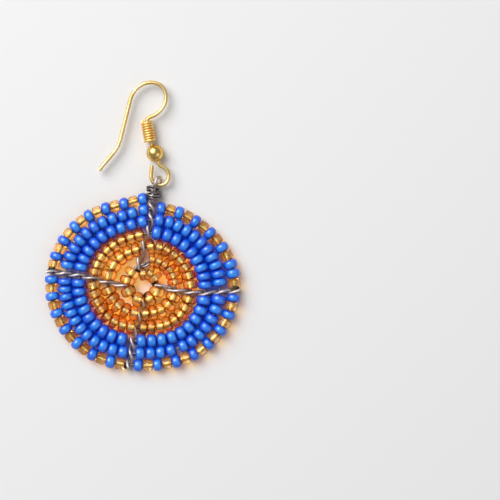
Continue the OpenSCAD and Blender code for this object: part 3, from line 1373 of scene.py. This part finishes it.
@dataclass
class TwistedSpokes:
    """The four spokes, each a pair of steel strands twisted between the turns.

    Args:
        wire: The spiral wire.
        finishes: The finishes.
        strand_diameter: Diameter of a strand.
        asides: How far the strands of each spoke swing to the side.
        rise: How far they swing up and down.
        phase: Angle of the twist at the first crossing, in degrees.
        inner_tails: How far each spoke goes on inside the first turn, counted in turns.
        outer_tail: How far it goes on outside the last turn.
        steps: Number of steps of a strand between two turns.
        sides: Number of sides of a strand.
        nearby: Distance to either side, in turns, from which its direction is measured.
        hanger_leaves: Where the hanging loop leaves its spoke, counted in turns.
        loop: The hanging loop, as X and Y from the ball's middle, and height.
        wraps: The knot at the neck, given in the same way: two loose turns at the foot, a
            step up over the front, and two more at the head.
        wrap_diameter: Diameter of its wire.
        tucks: Which way along the outer row each spoke's end is tucked.
        tuck_reach: Radius of the bent end.
        tuck_side: How far to the side it starts and ends.
        tuck_angles: Angle at which it starts and ends, 0 outwards.
        tuck_steps: Number of its steps.
        fold_reach: How far the bend at the inner end reaches.
        fold_steps: Number of its steps.
        smoothing: Number of steps between two points of the loop and the knot.
    """

    wire: SpiralWire
    finishes: Finishes
    strand_diameter: float = 0.56
    asides: tuple[float, ...] = (0.28, 0.42, 0.28, 0.45)
    rise: float = 0.64
    phase: float = 60.0
    inner_tails: tuple[float, ...] = (0.15, 0.15, 0.15, 0.1)
    outer_tail: float = 0.35
    steps: int = 14
    sides: int = 12
    nearby: float = 0.02
    hanger_leaves: float = 4.6
    loop: tuple[Row, ...] = (
        (-0.5, -8.0, 1.5),
        (-0.4, -7.4, 1.55),
        (-0.25, -6.8, 1.55),
        (-0.15, -6.2, 1.6),
        (-0.02, -5.75, 2.05),
        (0.1, -5.3, 2.25),
        (0.22, -4.85, 2.2),
        (0.45, -4.42, 1.95),
        (0.88, -4.3, 1.45),
        (1.12, -4.65, 1.0),
        (0.95, -5.1, 0.72),
        (0.5, -5.5, 0.72),
        (0.05, -5.9, 0.82),
        (-0.15, -6.4, 0.9),
        (-0.25, -7.1, 0.9),
        (-0.6, -8.0, 0.9),
    )
    wraps: tuple[Row, ...] = (
        (0.0, -8.4, 1.8),
        (-0.25, -8.12, 2.1),
        (-0.85, -7.97, 1.9),
        (-1.35, -7.85, 1.2),
        (-0.9, -7.8, 0.45),
        (-0.3, -7.75, 0.28),
        (0.45, -7.68, 0.45),
        (0.92, -7.6, 1.15),
        (0.5, -7.6, 1.95),
        (-0.25, -7.66, 2.2),
        (-0.95, -7.5, 1.95),
        (-1.42, -7.32, 1.25),
        (-0.95, -7.25, 0.45),
        (-0.3, -7.2, 0.28),
        (0.5, -7.12, 0.5),
        (1.02, -6.98, 1.25),
        (0.55, -7.03, 1.98),
        (-0.1, -7.15, 2.25),
        (-0.42, -6.93, 2.38),
        (-0.42, -6.6, 2.38),
        (-0.55, -6.4, 2.25),
        (-0.98, -6.42, 1.95),
        (-1.32, -6.55, 1.2),
        (-0.95, -6.62, 0.45),
        (-0.35, -6.58, 0.28),
        (0.28, -6.45, 0.45),
        (0.6, -6.25, 1.15),
        (0.25, -6.08, 1.98),
        (-0.4, -5.98, 2.34),
        (-1.05, -5.98, 1.95),
        (-1.34, -6.08, 1.2),
        (-1.0, -6.12, 0.55),
    )
    wrap_diameter: float = 0.46
    tucks: tuple[tuple[Spoke, int], ...] = (
        (Spoke.RIGHT, -1),
        (Spoke.BOTTOM, 1),
        (Spoke.LEFT, 1),
    )
    tuck_reach: float = 0.48
    tuck_side: tuple[float, float] = (0.3, 0.75)
    tuck_angles: tuple[float, float] = (-120, 130)
    tuck_steps: int = 25
    fold_reach: float = 0.5
    fold_steps: int = 12
    smoothing: int = 6

    def line(self, spoke: Spoke) -> Route:
        """The spoke's middle at its crossings, with one point more at each end.

        Args:
            spoke: The spoke.

        Returns:
            The points, from the disc's middle out.
        """
        turns = range(self.wire.turns)
        p = [self.wire.point(self.wire.crossing(turn, spoke)) for turn in turns]
        return [2 * p[0] - p[1], *p, 2 * p[-1] - p[-2]]

    def middle(self, line: Route, s: float) -> Vector:
        """A point on the spoke's middle line.

        Args:
            line: The spoke's points.
            s: Place along it, counted in turns of the spiral.

        Returns:
            The point.
        """
        last = self.wire.turns - 1
        i = min(max(math.floor(s), 0), last - 1)
        a, b = line[i + 1], line[i + 2]
        if s < 0 or s > last:
            return a + (s - i) * (b - a)
        return between(line[i], a, b, line[i + 3], s - i)

    def strand(self, spoke: Spoke, to: float, which: int) -> Route:
        """One strand of a spoke.

        Args:
            spoke: The spoke.
            to: Where the strand ends, counted in turns.
            which: 0 or 1.

        Returns:
            The strand's points.
        """
        line = self.line(spoke)
        start = -self.inner_tails[spoke.value]
        count = math.ceil((to - start) * self.steps)
        points = []
        for i in range(count + 1):
            s = start + (to - start) * i / count
            step = self.middle(line, s + self.nearby) - self.middle(line, s - self.nearby)
            along = step.normalized()
            turn = math.radians(self.phase + 180 * (s + which))
            aside = self.asides[spoke.value] * math.cos(turn)
            swing = Vector((aside * along.y, -aside * along.x, self.rise * math.sin(turn)))
            points.append(self.middle(line, s) + swing)
        return points

    def fold(self, spoke: Spoke, a: Vector, b: Vector) -> Route:
        """The bend round the innermost turn that joins a spoke's two strands.

        Args:
            spoke: The spoke.
            a: Inner end of one strand.
            b: Inner end of the other.

        Returns:
            The bend's points, from one end to the other.
        """
        line = self.line(spoke)
        inwards = (line[0] - line[1]).normalized()
        middle = (a + b) / 2
        angles = [math.radians(180 * i / self.fold_steps) for i in range(self.fold_steps + 1)]
        return [
            middle + math.cos(t) * (a - middle) + self.fold_reach * math.sin(t) * inwards
            for t in angles
        ]

    def tuck(self, spoke: Spoke, way: int) -> Route:
        """The cut end of a spoke, bent once round the outer row's wire.

        Args:
            spoke: The spoke.
            way: 1 to go on clockwise along the row, -1 to go back.

        Returns:
            The points of the bent end.
        """
        bearing = self.wire.crossing(self.wire.turns - 1, spoke)
        out = self.wire.outwards(bearing)
        along = way * Vector((out.y, -out.x, 0))
        middle = self.wire.point(bearing)
        near, far = self.tuck_side
        first, last = self.tuck_angles
        points = []
        for i in range(self.tuck_steps + 1):
            share = i / self.tuck_steps
            turn = math.radians(first + share * (last - first))
            round_wire = self.tuck_reach * (math.cos(turn) * out + math.sin(turn) * UP)
            points.append(middle + (near + share * (far - near)) * along + round_wire)
        return points

    def from_ball(self, rows: tuple[Row, ...]) -> Route:
        """A smooth route through points given from the ball's middle."""
        points = [Vector((BALL_MIDDLE.x + x, BALL_MIDDLE.y + y, z)) for x, y, z in rows]
        return smooth_through(points, self.smoothing)

    def draw_spoke(self, name: str, runs: list[Route], bends: list[Route]) -> None:
        """Draws a spoke's wire, as a piece that stands for a solid.

        Args:
            name: The name of the solid, from which the piece takes its own.
            runs: The routes of plain wire.
            bends: The routes of the hard bends, which are darkened as painted shadow.
        """
        steel, black = self.finishes.steel, self.finishes.bend_shadow_steel
        mesh = draw_wire(runs, self.strand_diameter, self.sides, steel, bends, black)
        place(name + "_wire", mesh, name)

    def build(self) -> None:
        """Builds the spokes, the hanging loop and the wraps."""
        end = self.wire.turns - 1 + self.outer_tail
        for spoke, way in self.tucks:
            a, b = (self.strand(spoke, end, which) for which in (0, 1))
            bends = [self.fold(spoke, a[0], b[0]), self.tuck(spoke, way)]
            self.draw_spoke("spoke_" + spoke.name.lower(), [a, b], bends)
        lower, upper = (
            self.strand(Spoke.TOP, self.hanger_leaves, which) for which in (0, 1)
        )
        hanger = upper + self.from_ball(self.loop) + lower[::-1]
        self.draw_spoke("spoke_top", [hanger], [self.fold(Spoke.TOP, lower[0], upper[0])])
        # The knot takes the darker steel: painted shade in its gaps
        wraps, steel = self.from_ball(self.wraps), self.finishes.dark_steel
        mesh = draw_wire([wraps], self.wrap_diameter, self.sides, steel)
        place("loop_wrap_wire", mesh, "loop_wrap")


@dataclass
class EarHook:
    """The ear hook: bent wire, a coil round it and a bored ball.

    Args:
        finishes: The finishes.
        wire_diameter: Diameter of the hook's wire.
        wire_sides: Number of its sides.
        heading: Direction of the wire up through the ball, in degrees from X.
        bend_step: Length in degrees of one step of a bend.
        tail_length: Length of the straight tail.
        up: The wire from the ball up, as rows of straight run, bend radius, and bend to the
            left in degrees.
        down: The wire from the ball down, given in the same way.
        ball_diameter: Diameter of the ball.
        bore: Diameter of the hole through it.
        ball_rings: Number of rings of faces on the ball.
        ball_sides: Number of its sides.
        ball_sharp: Angle in degrees above which its edge stays sharp.
        coil_diameter: Outer diameter of the coil.
        coil_length: Length of the coil.
        coil_turns: Number of its turns.
        coil_wire: Diameter of its wire.
        coil_foot: How far below the first bend's end it starts.
        coil_aside: How far it hangs to the left of the hook's wire.
        coil_steps: Number of steps in a turn.
        coil_sides: Number of sides of its wire.
    """

    finishes: Finishes
    wire_diameter: float = 0.7
    wire_sides: int = 20
    heading: float = 111.0
    bend_step: float = 4.0
    tail_length: float = 4.1
    up: tuple[Row, ...] = (
        (2.05, 1.2, -11.5),
        (3.55, 0.6, -80),
        (0.3, 4.2, 39),
        (0, 3.2, 53),
        (0, 2.3, 54),
        (0, 3.4, 44),
        (0, 4.2, 46.5),
        (7.2, 6, -26),
    )
    down: tuple[Row, ...] = (
        (2.0, 0.8, 38),
        (0.7, 1.6, -60),
        (0.2, 1.5, -110),
        (0.1, 1.55, -74),
        (1.8, 0, 0),
    )
    ball_diameter: float = 3.0
    bore: float = 0.8
    ball_rings: int = 24
    ball_sides: int = 48
    ball_sharp: float = 50.0
    coil_diameter: float = 2.15
    coil_length: float = 4.0
    coil_turns: int = 8
    coil_wire: float = 0.42
    coil_foot: float = 0.2
    coil_aside: float = 0.08
    coil_steps: int = 28
    coil_sides: int = 12

    @staticmethod
    def bend(at: Row, row: Row, share: float) -> Row:
        """Place and heading after a straight run and a share of its bend.

        Args:
            at: X, Y and heading before the row.
            row: Straight run, bend radius and bend to the left.
            share: Share of the bend.

        Returns:
            X, Y and heading.
        """
        side = math.copysign(row[1], row[2]) if row[2] else 0.0
        start = math.radians(at[2])
        end = start + math.radians(share * row[2])
        return (
            at[0] + row[0] * math.cos(start) + side * (math.sin(end) - math.sin(start)),
            at[1] + row[0] * math.sin(start) + side * (math.cos(start) - math.cos(end)),
            at[2] + share * row[2],
        )

    def route(self, heading: float, rows: tuple[Row, ...]) -> tuple[Route, Row]:
        """Follows some rows from the ball's middle.

        Args:
            heading: The heading at the ball.
            rows: The rows.

        Returns:
            The points, and the last place and heading.
        """
        at = (BALL_MIDDLE.x, BALL_MIDDLE.y, heading)
        points = []
        for row in rows:
            count = math.ceil(abs(row[2]) / self.bend_step)
            shares = [0.0] if row[0] > 0 else []
            for share in [*shares, *(k / count for k in range(1, count + 1))]:
                x, y, _ = self.bend(at, row, share)
                points.append(Vector((x, y, BALL_MIDDLE.z)))
            at = self.bend(at, row, 1.0)
        return points, at

    @staticmethod
    def facing(heading: float) -> tuple[Vector, Vector]:
        """The flat directions along a heading and to the left of it."""
        turn = math.radians(heading)
        along = Vector((math.cos(turn), math.sin(turn), 0))
        return along, Vector((-along.y, along.x, 0))

    def build_wire(self) -> None:
        """Builds the bent wire from the end of its bottom loop to its tail."""
        upper, (x, y, heading) = self.route(self.heading, self.up)
        lower, _ = self.route(self.heading + 180, self.down)
        tip = Vector((x, y, BALL_MIDDLE.z)) + self.tail_length * self.facing(heading)[0]
        route, metal = [*lower[::-1], BALL_MIDDLE, *upper, tip], self.finishes.pale_plating
        mesh = draw_wire([route], self.wire_diameter, self.wire_sides, metal)
        place("ear_hook_wire", mesh, "ear_wire")

    def build_coil(self) -> None:
        """Builds the coil on the straight run above the ball."""
        at_ball = (BALL_MIDDLE.x, BALL_MIDDLE.y, self.heading)
        x, y, heading = self.bend(at_ball, self.up[0], 1.0)
        along, across = self.facing(heading)
        foot = (
            Vector((x, y, BALL_MIDDLE.z))
            + (self.coil_wire / 2 - self.coil_foot) * along
            + self.coil_aside * across
        )
        count = self.coil_turns * self.coil_steps
        radius = (self.coil_diameter - self.coil_wire) / 2
        points = []
        for i in range(count + 1):
            a = 2 * math.pi * i / self.coil_steps
            climb = (self.coil_length - self.coil_wire) * i / count * along
            points.append(foot + climb + radius * (math.cos(a) * across + math.sin(a) * UP))
        metal = self.finishes.coil_plating
        mesh = draw_wire([points], self.coil_wire, self.coil_sides, metal)
        place("hook_coil_wire", mesh, "hook_coil")

    def build_ball(self) -> None:
        """Builds the bored ball."""
        r, hole = self.ball_diameter / 2, self.bore / 2
        start_angle = math.atan2(hole, math.sqrt(r * r - hole * hole))
        profile = []
        for i in range(self.ball_rings + 1):
            a = math.pi - start_angle - (math.pi - 2 * start_angle) * i / self.ball_rings
            profile.append((r * math.cos(a) * MM, r * math.sin(a) * MM))
        mesh = lathe("ball", profile, self.ball_sides)
        along, across = self.facing(self.heading)
        for v in mesh.vertices:
            v.co = BALL_MIDDLE * MM + v.co.x * along + v.co.y * across + v.co.z * UP
        mesh.materials.append(self.finishes.ball_plating)
        mesh.set_sharp_from_angle(angle=math.radians(self.ball_sharp))
        place("hook_ball_bead", mesh, "hook_ball")

    def build(self) -> None:
        """Builds the whole hook."""
        self.build_wire()
        self.build_coil()
        self.build_ball()


@dataclass(frozen=True)
class Lamp:
    """A soft round lamp that shines on the earring.

    Args:
        name: The lamp's name.
        at: Its place in metres.
        width: Its width across in metres.
        power: Its power in watts.
    """

    name: str
    at: Row
    width: float
    power: float

    def build(self) -> None:
        """Builds the lamp."""
        data = bpy.data.lights.new(self.name, "AREA")
        data.shape = "DISK"
        data.size, data.energy = self.width, self.power
        lamp = add_object(self.name, data)
        lamp.location = self.at
        lamp.rotation_euler = (-Vector(self.at)).to_track_quat("-Z", "Y").to_euler()


@dataclass
class Studio:
    """Pale floor, soft light from the upper left and a camera straight above.

    Args:
        finishes: The finishes.
        lamps: The lamps.
        air: Colour of the light from all round.
        air_strength: Its strength.
        floor_size: Side of the floor in metres.
        frame_mm: Width of what the camera sees on the floor.
        distance: Height of the camera in metres.
        look_at: The place on the floor under the camera.
        sensor: Width of the camera's sensor.
        clip: The nearest and the farthest that it sees, in metres.
    """

    finishes: Finishes
    lamps: tuple[Lamp, ...] = (
        Lamp("key_light", (-0.37, 0.37, 0.58), 0.72, 6.65),
        Lamp("spark_light", (-0.33, 0.37, 0.58), 0.24, 0.4),
        Lamp("fill_light", (0.5, -0.3, 0.5), 0.6, 0.65),
    )
    air: str = "#f8f7f6"
    air_strength: float = 0.26
    floor_size: float = 3.0
    frame_mm: float = 89.0
    distance: float = 0.45
    look_at: tuple[float, float] = (19.0, -4.2)
    sensor: float = 36.0
    clip: tuple[float, float] = (0.01, 10.0)

    def build_floor(self) -> None:
        """Builds the pale floor."""
        half = self.floor_size / 2
        corners = [(-half, -half, 0), (half, -half, 0), (half, half, 0), (-half, half, 0)]
        mesh = bpy.data.meshes.new("floor")
        mesh.from_pydata(corners, [], [(0, 1, 2, 3)])
        mesh.materials.append(self.finishes.board)
        add_object("floor", mesh)

    def build_air(self) -> None:
        """Builds the even light from all round."""
        world = bpy.data.worlds.new("studio")
        world.use_nodes = True
        inputs = world.node_tree.nodes["Background"].inputs
        inputs["Color"].default_value = linear(self.air)
        inputs["Strength"].default_value = self.air_strength
        bpy.context.scene.world = world

    def build_camera(self) -> None:
        """Builds the camera."""
        data = bpy.data.cameras.new("camera")
        data.sensor_width = self.sensor
        data.lens = self.sensor * self.distance / (self.frame_mm * MM)
        data.clip_start, data.clip_end = self.clip
        camera = add_object("camera", data)
        camera.location = (self.look_at[0] * MM, self.look_at[1] * MM, self.distance)
        bpy.context.scene.camera = camera

    def build(self) -> None:
        """Builds the floor, the lamps, the surroundings and the camera."""
        bpy.context.scene.view_settings.view_transform = "Standard"
        self.build_floor()
        for lamp in self.lamps:
            lamp.build()
        self.build_air()
        self.build_camera()


def main() -> None:
    """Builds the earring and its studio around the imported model."""
    logging.basicConfig(level=logging.INFO, format="%(name)s: %(message)s")
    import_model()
    finishes = Finishes()
    wire = SpiralWire()
    BeadStrings(wire, finishes).build()
    TwistedSpokes(wire, finishes).build()
    EarHook(finishes).build()
    Studio(finishes).build()


if __name__ == "__main__":
    main()
